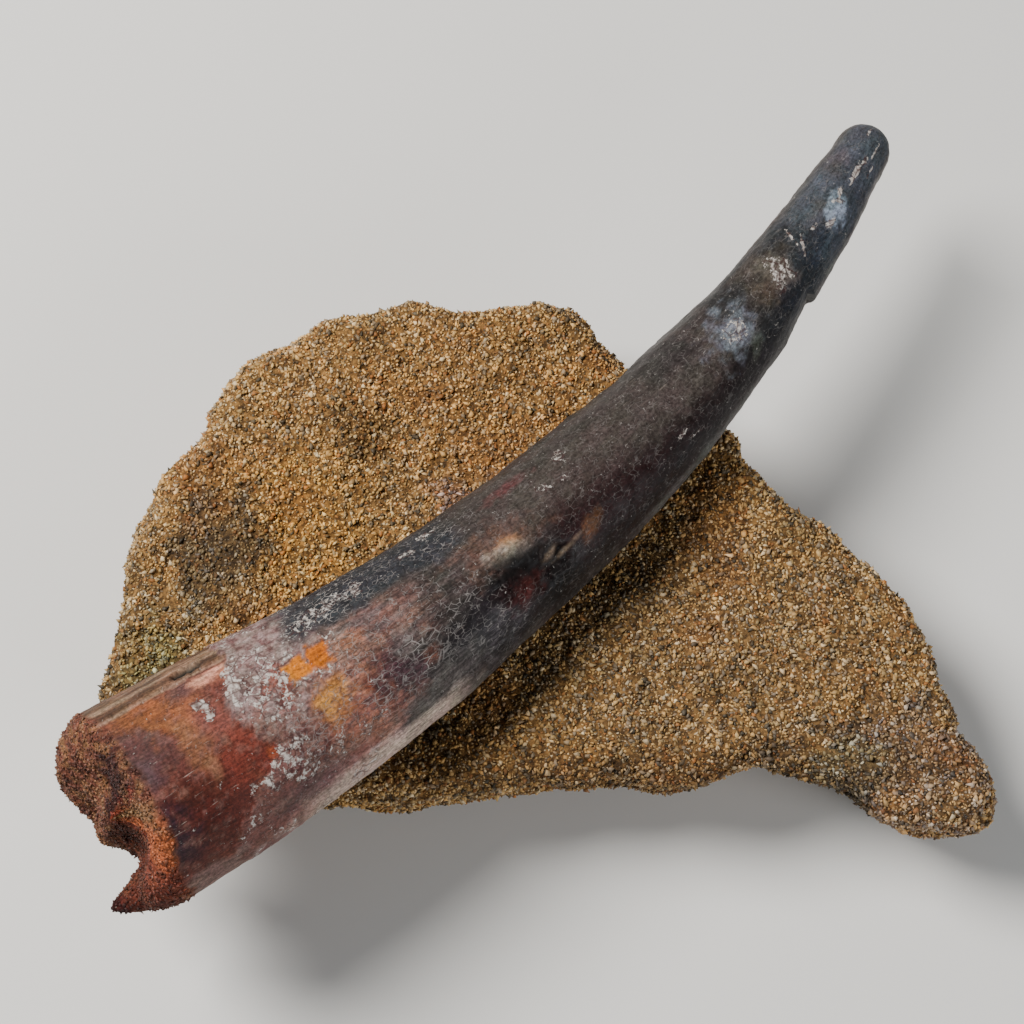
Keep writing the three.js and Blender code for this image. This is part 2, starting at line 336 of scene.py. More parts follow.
def line_point(share):
    """Centripetal Catmull-Rom curve through the middle line's points."""
    place = np.clip(share, 0, 1) * (len(line) - 1)
    index = np.minimum(place.astype(int), len(line) - 2)
    part = (place - index)[:, None]
    p0, p1, p2, p3 = (line_ends[index + k] for k in range(4))
    gap0, gap1, gap2 = (np.linalg.norm(b - a, axis=1)[:, None] ** 0.5
                        for a, b in ((p0, p1), (p1, p2), (p2, p3)))
    start = ((p1 - p0) / gap0 - (p2 - p0) / (gap0 + gap1) + (p2 - p1) / gap1) * gap1
    end = ((p2 - p1) / gap1 - (p3 - p1) / (gap1 + gap2) + (p3 - p2) / gap2) * gap1
    cubic = 2 * p1 - 2 * p2 + start + end
    square = -3 * p1 + 3 * p2 - 2 * start - end
    return ((cubic * part + square) * part + start) * part + p1


table_shares = np.linspace(0, 1, 201)
table_steps = np.linalg.norm(np.diff(line_point(table_shares), axis=0), axis=1)
table_lengths = np.concatenate([[0], np.cumsum(table_steps)])
TOOTH_LENGTH = table_lengths[-1]


def half_width(along):
    """Half width of the tooth, rounded off to a point at the tip."""
    widths = np.array([TOOTH_HALF_WIDTHS[0], *TOOTH_HALF_WIDTHS, TOOTH_HALF_WIDTHS[-1]])
    place = np.clip(along / TOOTH_LENGTH, 0, 1) * (len(TOOTH_HALF_WIDTHS) - 1)
    index = np.minimum(place.astype(int), len(TOOTH_HALF_WIDTHS) - 2)
    part = place - index
    p0, p1, p2, p3 = (widths[index + k] for k in range(4))
    start = (p2 - p0) / 2
    end = (p3 - p1) / 2
    cubic = 2 * p1 - 2 * p2 + start + end
    taper = ((cubic * part - 3 * p1 + 3 * p2 - 2 * start - end) * part + start) * part + p1
    into_tip = np.clip((along - TOOTH_LENGTH + TIP_ROUNDING) / TIP_ROUNDING, 0, 1)
    return taper * np.sqrt(1 - into_tip ** 2)


def station(along):
    """Middle, outward and upward directions at places along the tooth."""
    shares = np.interp(np.clip(along, 0, TOOTH_LENGTH), table_lengths, table_shares)
    forward = line_point(shares + 1e-4) - line_point(shares - 1e-4)
    forward /= np.linalg.norm(forward, axis=1)[:, None]
    middle = line_point(shares) + forward * np.minimum(along, 0)[:, None]
    outward = np.column_stack([forward[:, 1], -forward[:, 0], np.zeros(len(along))])
    outward /= np.linalg.norm(outward, axis=1)[:, None]
    return middle, outward, np.cross(outward, forward)


def turned(turn, centre):
    """Difference of two places around the tooth, in degrees from -180 to 180."""
    return (turn - centre + 180) % 360 - 180


def break_reach(turn, share):
    """How far the broken root stands out past the first station."""
    angle = np.radians(turn)
    across = share * TOOTH_HALF_WIDTHS[0] * np.cos(angle)
    up = share * TOOTH_HALF_WIDTHS[0] * TOOTH_FLATNESS * np.sin(angle)
    cut_back = ease(share * np.sin(angle), BREAK_BEVEL["from"], BREAK_BEVEL["to"])
    spur_off = ((across - SPUR["across"]) ** 2 + (up - SPUR["up"]) ** 2) / SPUR["width"] ** 2
    pulp = PULP["depth"] * (1 - ease(share, PULP["from"], PULP["to"]))
    profile = np.interp(across, *np.array(BREAK_PROFILE).T)
    place = np.column_stack([across, up, 0 * up])
    rough = BREAK_RELIEF["coarse"] * layered(place, 2.6, 3, 40)
    rough += BREAK_RELIEF["fine"] * layered(place, 0.7, 2, 45)
    rounded = BREAK_ROUNDING * (1 - np.sqrt(1 - np.clip((share - 0.8) / 0.2, 0, 1) ** 2))
    return profile * (1 - cut_back) + SPUR["length"] * np.exp(-spur_off) - pulp + rough - rounded


# Marks on the tooth: along in mm from the root, turn in degrees (0 outer curve, 90 top, 180 inner curve)

class Skin:
    """The tooth's points in their own coordinates, with the marks that are laid on them."""

    def __init__(self, along, turn, share):
        self.along, self.turn, self.share = along, turn, share
        self.half = half_width(along)
        angle = np.radians(turn)
        far = share * self.half
        self.lay = np.column_stack([along, far * np.cos(angle), far * np.sin(angle)])
        self.wall = ease(share, 0.93, 1.0)
        self.relief = np.zeros(len(along))
        self.colour = np.zeros((len(along), 3))
        self.ragged = {size: layered(self.lay, size, 4, int(size * 7)) for size in (0.8, 1.6, 3.2, 7.0)}

    def oval(self, along, turn, length, width, tilt=0.0, edge=0.4, ragged=0.5, size=1.6, square=2.0):
        """1 inside a patch and 0 outside.

        Length and width are half its extents in mm and tilt is in degrees. The edge is soft by that share
        of the patch and ragged by noise of that size. A higher square brings it nearer to a rectangle.
        """
        x = self.along - along
        y = np.radians(turned(self.turn, turn)) * np.maximum(self.half, 1.5) * MEAN_GIRTH
        cos, sin = math.cos(math.radians(tilt)), math.sin(math.radians(tilt))
        far = (np.abs((x * cos + y * sin) / length) ** square + np.abs((y * cos - x * sin) / width) ** square)
        return 1 - ease(far ** (1 / square) + ragged * self.ragged[size], 1 - edge, 1 + edge)

    def band(self, along_from, along_to, turn_from, turn_to, soft=4.0, soft_turn=12.0, ragged=2.0, size=3.2):
        """1 between two places along and two places around the tooth, with soft, ragged edges."""
        shift = ragged * self.ragged[size]
        middle, spread = (turn_from + turn_to) / 2, (turn_to - turn_from) / 2
        off = np.abs(turned(self.turn, middle)) + 3 * shift
        around = 1 - ease(off, spread - soft_turn / 2, spread + soft_turn / 2) if spread < 180 else 1
        lengthwise = ease(self.along + shift, along_from - soft / 2, along_from + soft / 2)
        return around * lengthwise * (1 - ease(self.along + shift, along_to - soft / 2, along_to + soft / 2))

    def paint(self, code, mask):
        self.colour += (linear(code) - self.colour) * np.clip(mask, 0, 1)[:, None]

    def spots(self, mask, *marks):
        """Painted ovals within a mask: colour, strength and what the oval takes."""
        for code, strength, *place in marks:
            self.paint(code, mask * self.oval(*place) * strength)


# White mineral crust: along, turn, half length, half width, tilt and strength
CRUST_MARKS = [
    (12.0, 109, 0.9, 0.7, 0, 1.3), (12.5, 104.5, 0.7, 0.6, 0, 1.3), (12.4, 100, 0.7, 0.55, 0, 1.1),
    (16.7, 109, 0.95, 1.1, 0, 1.35), (15.7, 101, 0.45, 1.7, 10, 1.15), (17.0, 118, 0.8, 1.4, 0, 0.95),
    (22.4, 97.5, 0.9, 0.7, 20, 1.15), (20.6, 106, 2.6, 1.2, 0, 0.66), (18.5, 94, 1.8, 1.9, 20, 0.72),
    (23.8, 106, 1.5, 0.9, 0, 0.72), (20.4, 84, 2.4, 1.4, 20, 0.6), (25.2, 90, 2.4, 0.7, 0, 0.65),
    (17.7, 57, 0.75, 1.7, 30, 1.05), (19.5, 61, 1.3, 1.0, -20, 0.85), (16.0, 56, 0.7, 0.7, 0, 0.95),
    (14.4, 50, 0.9, 0.8, 40, 1.0), (12.8, 52, 1.0, 0.5, 20, 0.9), (18.9, 41, 1.5, 1.4, 0, 0.75),
    (17.0, 47, 1.2, 1.0, 0, 0.7), (26.0, 98, 0.35, 0.9, 0, 1.1), (28.6, 104, 1.2, 0.6, 0, 0.8),
    (29.8, 127, 2.8, 1.2, 0, 0.8), (35.8, 128, 1.5, 0.9, 40, 0.85), (32.6, 131, 1.8, 0.9, 0, 0.65),
    (47.6, 141, 1.5, 0.6, 0, 0.8), (44.0, 132, 1.6, 0.7, 0, 0.7), (62.2, 104, 1.1, 0.55, -40, 0.7),
    (66.8, 119, 1.0, 0.7, 50, 0.75), (65.2, 99, 0.8, 0.3, 0, 0.7), (94.6, 84, 1.8, 1.4, 30, 0.7),
    (105.2, 97, 1.1, 1.5, 10, 0.75), (104.6, 82, 1.0, 1.6, 30, 0.85), (103.0, 74, 0.9, 0.8, 0, 0.75),
    (109.9, 108, 1.5, 0.15, 64, 1.3), (109.5, 82, 1.45, 0.22, 42, 1.2), (112.6, 84, 0.7, 0.3, 0, 0.8),
    (118.6, 78, 0.9, 0.25, 20, 1.2), (117.4, 72, 1.1, 0.3, -60, 1.0), (114.3, 64, 0.8, 0.4, 0, 1.2),
    (122.3, 71, 1.7, 0.36, 2, 1.3), (124.4, 68, 0.8, 0.3, 0, 1.1), (126.4, 58, 1.4, 0.14, 0, 1.0),
    (123.6, 46, 1.0, 0.14, 0, 0.9), (128.4, 92, 0.7, 0.2, 0, 0.9), (81.4, 41, 1.2, 0.16, -10, 1.0),
    (80.0, 52, 1.2, 0.2, 0, 0.8),
]


# Where the root ends and the enamel starts: turn and along
ENAMEL_EDGE = [
    (0, 8), (32, 9), (45, 12), (50, 13), (57, 16.5), (64, 17.5), (75, 16), (95, 14.5), (104, 15),
    (120, 17), (140, 18), (200, 17), (270, 13), (330, 10), (360, 8),
]


def enamel_edge(turn):
    """Where along the tooth the enamel starts."""
    return np.interp(turn % 360, *np.array(ENAMEL_EDGE, float).T)


def make_tooth():
    """The tooth: rings of points from the break to the tip, closed by a fan at either end."""
    turns = np.arange(TOOTH_SIDES) * 360 / TOOTH_SIDES
    cap = np.sin(np.linspace(0, np.pi / 2, BREAK_RINGS + 1))[1:-1]
    wall = np.linspace(0, TOOTH_LENGTH - TIP_ROUNDING, WALL_RINGS, endpoint=False)
    tip = TOOTH_LENGTH - TIP_ROUNDING * (1 - np.sin(np.linspace(0, np.pi / 2, TIP_RINGS, endpoint=False)))
    nominal = np.repeat(np.concatenate([np.zeros(len(cap)), wall, tip]), TOOTH_SIDES)
    share = np.repeat(np.concatenate([cap, np.ones(WALL_RINGS + TIP_RINGS)]), TOOTH_SIDES)
    turn = np.tile(turns, len(nominal) // TOOTH_SIDES)
    nominal = np.concatenate([nominal, [0, TOOTH_LENGTH]])
    share = np.concatenate([share, [0, 1]])
    turn = np.concatenate([turn, [0, 0]])
    hold = 1 - ease(nominal, 0, BREAK_FADE)
    skin = Skin(nominal - hold * break_reach(turn, share), turn, share)
    carve(skin)
    points = place_points(skin)
    sides = np.arange(TOOTH_SIDES)
    ahead = (sides + 1) % TOOTH_SIDES
    rings = (len(points) - 2) // TOOTH_SIDES
    near = (np.arange(rings - 1) * TOOTH_SIDES)[:, None]
    quads = np.stack([near + sides, near + TOOTH_SIDES + sides, near + TOOTH_SIDES + ahead, near + ahead], -1)
    root, end, edge = len(points) - 2, len(points) - 1, (rings - 1) * TOOTH_SIDES
    first = np.column_stack([np.full(TOOTH_SIDES, root), sides, ahead])
    last = np.column_stack([np.full(TOOTH_SIDES, end), edge + ahead, edge + sides])
    quads = quads.reshape(-1, 4)
    faces = np.vstack([quads[:, [0, 1, 2]], quads[:, [0, 2, 3]], first, last])
    tooth = make_object("tooth_skin", points, faces)
    paint_tooth(skin)
    for name in ("colour", "crust", "crackle", "lattice", "streaks", "scratches", "specks", "grit",
                 "gloss", "lay"):
        store(tooth.data, name, getattr(skin, name))
    unwrap_tooth(tooth.data, rings, faces)
    tooth.data.materials.append(tooth_material())
    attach(tooth, "root")
    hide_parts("tooth")
    return skin, points, faces


def unwrap_tooth(mesh, rings, faces):
    """Rings run across the map and places around the tooth run up it; a fan's middle point is spread out."""
    end_points = rings * TOOTH_SIDES
    ring, side = faces // TOOTH_SIDES, (faces % TOOTH_SIDES).astype(float)
    fan = faces >= end_points
    ring = np.where(fan, np.where(faces == end_points, -1, rings), ring)
    outer = np.where(fan, -1, side).max(axis=1, keepdims=True)
    side = np.where(~fan & (outer == TOOTH_SIDES - 1) & (side == 0), TOOTH_SIDES, side)
    side = np.where(fan, np.where(fan, 0, side).sum(axis=1, keepdims=True) / 2, side)
    across = np.interp(ring, [-1, BREAK_RINGS - 1, rings], [0.0, BREAK_MAP_SHARE, 1.0])
    uv = np.stack([across, side / TOOTH_SIDES], -1) * (1 - 2 * MAP_MARGIN) + MAP_MARGIN
    mesh.uv_layers.new(name="OFBake").data.foreach_set("uv", np.ascontiguousarray(uv, np.float32).ravel())


def place_points(skin):
    """The solid's own formula for a point of the tooth, with the fine relief added."""
    middle, outward, upward = station(skin.along)
    angle = np.radians(skin.turn)
    cos, sin = np.cos(angle)[:, None], np.sin(angle)[:, None]
    keel = sum(KEEL_HEIGHT * np.exp(-(turned(skin.turn, ridge) / KEEL_SPREAD) ** 2) for ridge in (0, 180))
    keel = keel * skin.half / TOOTH_HALF_WIDTHS[0]
    wide = skin.share * (skin.half + keel + skin.relief)
    tall = skin.share * (skin.half * TOOTH_FLATNESS + skin.relief)
    point = middle + outward * (wide[:, None] * cos) + upward * (tall[:, None] * sin)
    lump = (LUMP_DEPTH * skin.share * unevenness(point, LUMP_SIZE))[:, None]
    return point + outward * lump * cos + upward * lump * sin


def carve(skin):
    """Gives the skin its fine relief."""
    past_enamel = skin.along - enamel_edge(skin.turn) - 1.2 * skin.ragged[1.6]
    skin.enamel = ease(past_enamel, -0.25, 0.35)
    fibres = layered(skin.lay * [0.09, 1, 1], 0.9, 3, 60)
    flutes = noise(skin.lay * [0.03, 1, 1], 1.9, 64)
    skin.hollow = skin.oval(54.2, 60, 4.6, 2.5, -12, 0.6, 0.35)
    skin.ridge = skin.oval(53.6, 79.5, 2.6, 1.0, -16, 0.6, 0.4)
    skin.crease = np.maximum(skin.oval(57.5, 57, 1.1, 0.4, 20, 0.8, 0.6, 0.8),
                             skin.oval(60.2, 53, 2.6, 0.22, 8, 0.8, 0.6, 0.8))
    before = CHIP["along"] - skin.along
    chip = np.where((before > 0) & (before < CHIP["length"]), 1 - before / CHIP["length"], 0)
    chip = chip * np.clip(1 - (turned(skin.turn, CHIP["turn"]) / CHIP["spread"]) ** 2, 0, 1)
    skin.shell = skin.band(-3, 18.5, 133.0, 240, 1.0, 3.0, 0.6, 1.6) * (1 - 0.8 * ease(skin.turn, 150, 215))
    skin.hole = skin.oval(13.2, 139.5, 1.7, 0.75, 0, 0.35, 0.35, 0.8)
    skin.flaked = skin.oval(14.4, 68, 2.9, 2.6, 0, 0.35, 0.5, 1.6, 4)
    shapes = {
        "fibres": fibres * (1 - 0.6 * skin.enamel), "flutes": flutes * skin.enamel,
        "lumps": skin.ragged[3.2], "bumps": skin.ragged[1.6], "grain": skin.ragged[0.8],
        "enamel": skin.enamel * (1 - ease(past_enamel, 2, 14)),
        "hollow": skin.hollow, "ridge": skin.ridge, "crease": skin.crease, "chip": chip,
        "shell": skin.shell, "groove": skin.band(-2, 17.5, 130.5, 134.0, 1.0, 2.5, 0.35, 1.6),
        "hole": skin.hole, "flaked": skin.flaked,
    }
    skin.relief = skin.wall * sum(RELIEF[name] * shape for name, shape in shapes.items())


def paint_tooth(skin):
    """Colours and the strengths of the fine marks."""
    paint, spots, oval, band = skin.paint, skin.spots, skin.oval, skin.band
    one = np.ones(len(skin.along))
    n1, n2, n3, n7 = (skin.ragged[size] for size in (0.8, 1.6, 3.2, 7.0))
    lengthwise = layered(skin.lay * [0.14, 1, 1], 1.3, 4, 70)
    # Crown
    paint("403c3b", one)
    paint("544c48", ease(n7 + 0.4 * n3, 0.0, 0.6))
    paint("3a3433", ease(lengthwise, 0.0, 0.6) * 0.7)
    paint("4a4440", band(44, 80, 84, 150, 14, 20))
    paint("5a504b", band(56, 76, 76, 120, 12, 18) * (0.7 + 0.3 * n3))
    paint("241d1f", band(40, 106, 12, 64, 12, 24) * 0.85)
    spots(one, ("33191a", 0.8, 68, 62, 10, 3.6, 0, 0.6), ("2a1716", 0.7, 82, 62, 9, 3.0, 0, 0.6),
          ("5c5450", 0.8, 86, 80, 15, 2.0, 0, 0.7))
    paint("303236", band(96, 134, 20, 160, 10, 20) * 0.75)
    paint("222a35", oval(110, 38, 9, 2.6, 0, 0.6) * 0.9)
    # Root
    root = 1 - skin.enamel
    paint("7a453a", root)
    paint("8c5444", root * ease(n3, 0.0, 0.5) * 0.7)
    spots(root, ("5a3836", 0.85, 2.5, 103, 6.5, 5.2, 0, 0.5), ("62505a", 0.5, 1.8, 88, 2.2, 2.2, 0, 0.7),
          ("a0603a", 0.9, 5.6, 127, 3.4, 3.0, 0, 0.5, 0.6), ("a8663c", 0.8, 9.0, 112, 3.0, 2.4, 30, 0.6, 0.6),
          ("a06a48", 0.75, 9.2, 88, 1.6, 4.0, 0, 0.6, 0.6))
    paint("6a362c", root * band(-4, 12.5, 22, 72, 8, 22, 3.0) * 0.9)
    spots(root, ("54241c", 0.8, 6.6, 55, 4.0, 3.2, 0, 0.8, 0.8),
          ("2e2430", 0.9, 1.0, 57, 2.4, 2.6, 0, 0.8, 0.8), ("3a2a34", 0.8, 1.6, 40, 2.6, 2.2, 0, 0.8, 0.8),
          ("a8785a", 0.7, 9.6, 73, 0.7, 1.2, 0, 0.5))
    paint("8a4234", skin.flaked * 0.75)
    paint("74352b", oval(14.6, 66, 2.0, 1.2, 0, 0.8, 0.8) * 0.6)
    paint("8e6e66", root * ease(n2 + 0.5 * n1, 0.2, 0.6) * 0.35)
    paint("b05a34", oval(16.4, 62, 0.5, 1.0, 0, 0.5) * 0.6)
    spots(root, ("9a5a4c", 0.7, 12.6, 98, 2.0, 2.6, 0, 0.5), ("8a4236", 0.7, 15.2, 80, 3.0, 1.6, 0, 0.5),
          ("5e4a4a", 0.7, 11.0, 124, 1.8, 1.3, 0, 0.6))
    # The first two spots, a bright peach stripe on the ridge by the shell's step, are a painted highlight
    spots(one, ("f0a68a", 0.95, 15.2, 125, 3.1, 0.95, 6, 0.35, 0.35),
          ("fcc2a4", 0.8, 15.6, 126.5, 2.2, 0.35, 6, 0.5, 0.35), ("b46c50", 0.8, 16.8, 121, 1.4, 0.9, 0, 0.5))
    paint("8c7068", root * band(-4, 16, -8, 19, 3, 8) * 0.9)
    spots(one, ("a88462", 0.9, 10.3, 27, 1.5, 0.9, 0, 0.5), ("9a6c50", 0.9, 14.6, 37, 2.0, 1.4, 0, 0.5),
          ("7a5244", 0.7, 12.8, 29, 1.6, 1.2, 0, 0.6))
    paint("8a6a50", skin.shell * root * 0.85)
    paint("4c3628", skin.shell * root * ease(lengthwise, 0.0, 0.35) * 0.8)
    paint("b49a80", skin.shell * root * ease(-lengthwise, 0.15, 0.5) * 0.6)
    paint("bc9c84", band(-2, 17.8, 131.8, 134.2, 1, 1.6, 0.3, 1.6) * 0.6)
    # The hole's near-black colour is painted shade
    paint("10201e", skin.hole)
    # Foot of the crown
    foot = skin.enamel * (1 - ease(skin.along + 2 * n3, 27, 33))
    paint("88645c", foot)
    paint("8c7874", foot * band(10, 31, 92, 160, 4, 14) * 0.8)
    paint("a39490", foot * ease(n2 + 0.5 * n1, 0.1, 0.5) * 0.6)
    paint("5e3c3a", foot * ease(-n2 - 0.3 * n3, 0.1, 0.5) * 0.8)
    paint("70483e", foot * band(6, 24, 8, 52, 6, 16, 3.0) * 0.7)
    paint("5a2f2e", foot * band(14, 27, 42, 72, 3, 10) * ease(n2, -0.1, 0.5))
    paint("8a4a3a", foot * oval(21.2, 97, 2.2, 1.8, 0, 0.5, 0.6) * 0.8)
    # Middle of the crown's foot, with the streaked pinkish and warm brown enamel
    paint("8c665a", band(27, 41, 72, 112, 7, 20) * 0.85)
    paint("5e5250", band(30, 48, 76, 118, 8, 14) * ease(lengthwise, -0.1, 0.4) * 0.9)
    paint("9c6850", oval(31.3, 95, 2.2, 1.0, 10, 0.5) * 0.8)
    paint("946450", band(24, 34.5, 34, 84, 6, 20, 4.0) * 0.8)
    spots(one, ("b87c3c", 0.9, 25.8, 71, 2.1, 2.1, 0, 0.5, 0.5),
          ("c88c44", 0.7, 24.6, 70, 0.8, 2.0, 0, 0.5, 0.5), ("845040", 0.5, 27.4, 52, 3.4, 2.6, 0, 0.8, 0.9))
    paint("563a3e", band(25, 36, 40, 84, 5, 16, 3.0) * ease(n2 + n1, 0.1, 0.5) * 0.6)
    spots(one, ("7c3c28", 0.9, 30.6, 66, 0.9, 0.8, 0, 0.3, 0.3),
          ("8a5a4c", 0.8, 38.2, 57, 1.5, 0.9, 0, 0.4, 0.4))
    paint("402c34", band(31, 38.5, 48, 78, 3, 12, 3.0) * 0.85)
    paint("5e5a56", oval(36.6, 75, 1.9, 1.7, 0, 0.4, 0.4) * 0.6)
    # The slate inner edge, the dark lower face and the pale lower band, which is painted rim light
    paint("363a40", band(25.5, 50, 112, 162, 5, 10) * 0.95)
    paint("2c3238", oval(29.5, 126, 3.4, 2.0, 0, 0.6) * 0.7)
    paint("262026", band(41, 53, 42, 66, 3, 12) * 0.9)
    spots(one, ("5c5a5e", 0.7, 47, 37, 4.5, 2.2, 0, 0.8, 0.8), ("6e6864", 0.7, 39, 32, 5.0, 2.0, 0, 0.8, 0.8))
    # Pale lower band along the outer curve: painted rim light
    paint("9a8a7e", band(17.5, 40, -10, 20, 8, 12, 1.6) * 0.9)
    paint("5e4444", oval(19.0, 27, 4.0, 1.8, 0, 0.6) * 0.8)
    # The ridge, its hollow and what lies around them, with a painted highlight on the ridge and painted shade
    # in the hollow and beside it
    spots(one, ("74564a", 0.8, 52.6, 88, 4.6, 2.6, -10, 0.8, 0.8),
          ("c08a60", 0.9, 53.8, 85, 1.6, 0.9, 0, 0.6, 0.7))
    # Pale ridge: painted highlight
    paint("b8b0a2", skin.ridge * (0.75 + 0.25 * n1))
    # Near-black hollow: painted shade
    paint("140d0d", skin.hollow)
    # The first spot, near black beside the hollow, is a painted shadow
    spots(one, ("0c0909", 0.95, 56.4, 30, 2.4, 3.0, 0, 0.8, 0.6),
          ("4c1c19", 0.8, 52.4, 46, 2.6, 1.3, 10, 0.7, 0.7), ("2e1210", 0.7, 50.6, 55, 2.2, 1.2, 0, 0.6))
    paint("94806c", skin.crease * 0.6)
    spots(one, ("7a5236", 0.8, 63.4, 53, 1.8, 0.9, 30, 0.6, 0.6), ("6c4040", 0.8, 59, 128, 3.2, 0.8, 0, 0.6))
    # Upper crown and tip
    spots(one, ("7e8694", 0.85, 94.2, 88, 3.3, 2.4, 30, 0.6, 0.9),
          ("98a0ac", 0.7, 94.6, 84, 1.7, 1.3, 30, 0.6, 0.9), ("5c6056", 0.7, 95, 50, 1.6, 0.8, 40, 0.6, 0.8))
    paint("4a433b", band(99, 107.5, 78, 146, 3, 16) * 0.7)
    spots(one, ("62564a", 0.6, 101.5, 84, 1.6, 1.6, 0, 0.6, 0.8),
          ("7c746a", 0.6, 104.6, 92, 1.6, 3.0, 20, 0.6, 0.9),
          ("54433f", 0.6, 121.6, 116, 2.6, 1.2, 0, 0.6, 0.8), ("5a5046", 0.7, 114.6, 92, 2.0, 1.0, 0, 0.6))
    paint("464e58", band(108, 134, 20, 140, 8, 20) * (0.55 + 0.35 * n3))
    paint("8895a6", oval(116.2, 66, 2.0, 1.35, 10, 0.4, 0.7) * 0.9)
    # Pale line along the outer edge of the crown: painted rim light
    paint("7c7c78", band(70, 130, -12, 13, 8, 8, 0.6) * 0.6)
    # The break at the root
    broken = 1 - skin.wall
    near_break = np.maximum(broken, 1 - ease(skin.along + break_reach(skin.turn, 1.0) + 0.6 * n2, 0.2, 1.3))
    near_break = np.where(skin.share < 1, 1.0, near_break)
    paint("70463a", near_break)
    paint("8c6648", near_break * ease(n2, -0.2, 0.4) * 0.8)
    spots(near_break, ("3c2222", 0.95, -3.0, 104, 4.5, 4.2, 0, 0.6, 0.5),
          ("a84a34", 0.95, -3.6, 82, 2.6, 2.4, 0, 0.5, 0.6), ("8f6e4c", 0.9, -1.6, 68, 2.0, 2.2, 0, 0.6, 0.5))
    paint("a55c3a", near_break * band(-6, 3, 28, 60, 3, 10) * 0.9)
    paint("74392c", near_break * band(-6, 3, 2, 34, 3, 10) * 0.8)
    paint("56291f", near_break * band(-14, 3, -80, 4, 3, 12) * 0.8)
    paint("3a1818", ease(break_reach(skin.turn, skin.share), 5.0, 7.0) * near_break * 0.9)
    skin.grit = near_break
    # Strengths of the fine marks that the material draws
    crust = np.max([strength * oval(along, around, length, width, tilt, 0.45, 0.4, 0.8)
                    for along, around, length, width, tilt, strength in CRUST_MARKS], axis=0)
    boundary = np.exp(-((skin.along - enamel_edge(skin.turn) - 1.5) / 2.2) ** 2)
    hidden = ease(np.abs(turned(skin.turn, 80)), 95, 125)
    scattered = ease(n3 + 0.5 * n1, 0.5, 0.8)
    veined = 0.6 * foot * ease(n3 + 0.4 * n2, -0.25, 0.5) * (1 - 0.5 * band(14, 30, 44, 84, 3, 10))
    skin.crust = np.clip(np.maximum(crust, veined) + scattered * hidden * 0.8 * boundary, 0, 1.4)
    amber_one = oval(24.1, 98.2, 1.5, 1.3, 10, 0.16, 0.3, 0.8, 5)
    amber_two = oval(27.2, 98.4, 1.5, 1.5, -16, 0.16, 0.3, 0.8, 5)
    amber = np.maximum(amber_one, amber_two)
    paint("bc7018", amber_one)
    paint("ac5a0c", amber_two)
    skin.crust = np.maximum(skin.crust, 1.1 * oval(25.7, 98, 0.2, 1.3, 0, 0.5, 0.4, 0.8)) * (1 - amber)
    # How light each part of the fossil is; the lift of the pale lower band is painted rim light
    tone = 0.5 + 0.2 * foot + 0.2 * band(25, 40, 4, 112, 6, 16) + 0.45 * band(16, 44, -14, 24, 6, 10)
    tone += 0.4 * ease(skin.along, 106, 118) + 0.15 * near_break
    skin.colour *= np.maximum(tone, amber * 0.58)[:, None]
    slate = np.maximum(band(24.5, 38, 112, 165, 4, 10), 0.6 * band(36, 54, 116, 165, 5, 10))
    net = np.maximum.reduce([
        slate, 0.55 * band(18, 46, 36, 112, 8, 20), 0.6 * oval(47, 37, 6, 2.8), 0.22 * skin.enamel,
        0.6 * band(40, 50, 60, 84, 4, 10), 0.45 * hidden * skin.enamel * ease(n7, 0, 0.4)])
    whole = (1 - amber) * (1 - skin.hollow) * skin.enamel
    skin.crackle = np.clip(net * whole, 0, 1)
    lattice = np.maximum(0.85 * band(29, 41, 46, 80, 4, 12, 3.0), 0.35 * band(18, 34, 36, 112, 6, 20, 3.0))
    skin.lattice = np.clip(lattice * ease(n3 + 0.6 * n7, -0.5, 0.3) * whole, 0, 1)
    skin.streaks = np.clip(0.2 * root * (1 - near_break) + 0.6 * band(28, 52, 10, 112, 6, 10) + 0.35, 0, 1)
    skin.scratches = np.clip(root * band(-4, 12, 20, 125, 3, 10) + 0.35 * skin.enamel * ease(n7, 0, 0.5), 0, 1)
    skin.specks = np.clip(0.8 * band(52, 100, 80, 150, 10, 16) + 0.35 * skin.enamel + 0.2, 0, 1)
    shine = 0.62 - 0.16 * skin.enamel * ease(skin.along, 40, 60) + 0.25 * near_break + 0.08 * n3
    skin.gloss = np.clip(shine, 0.25, 0.95)


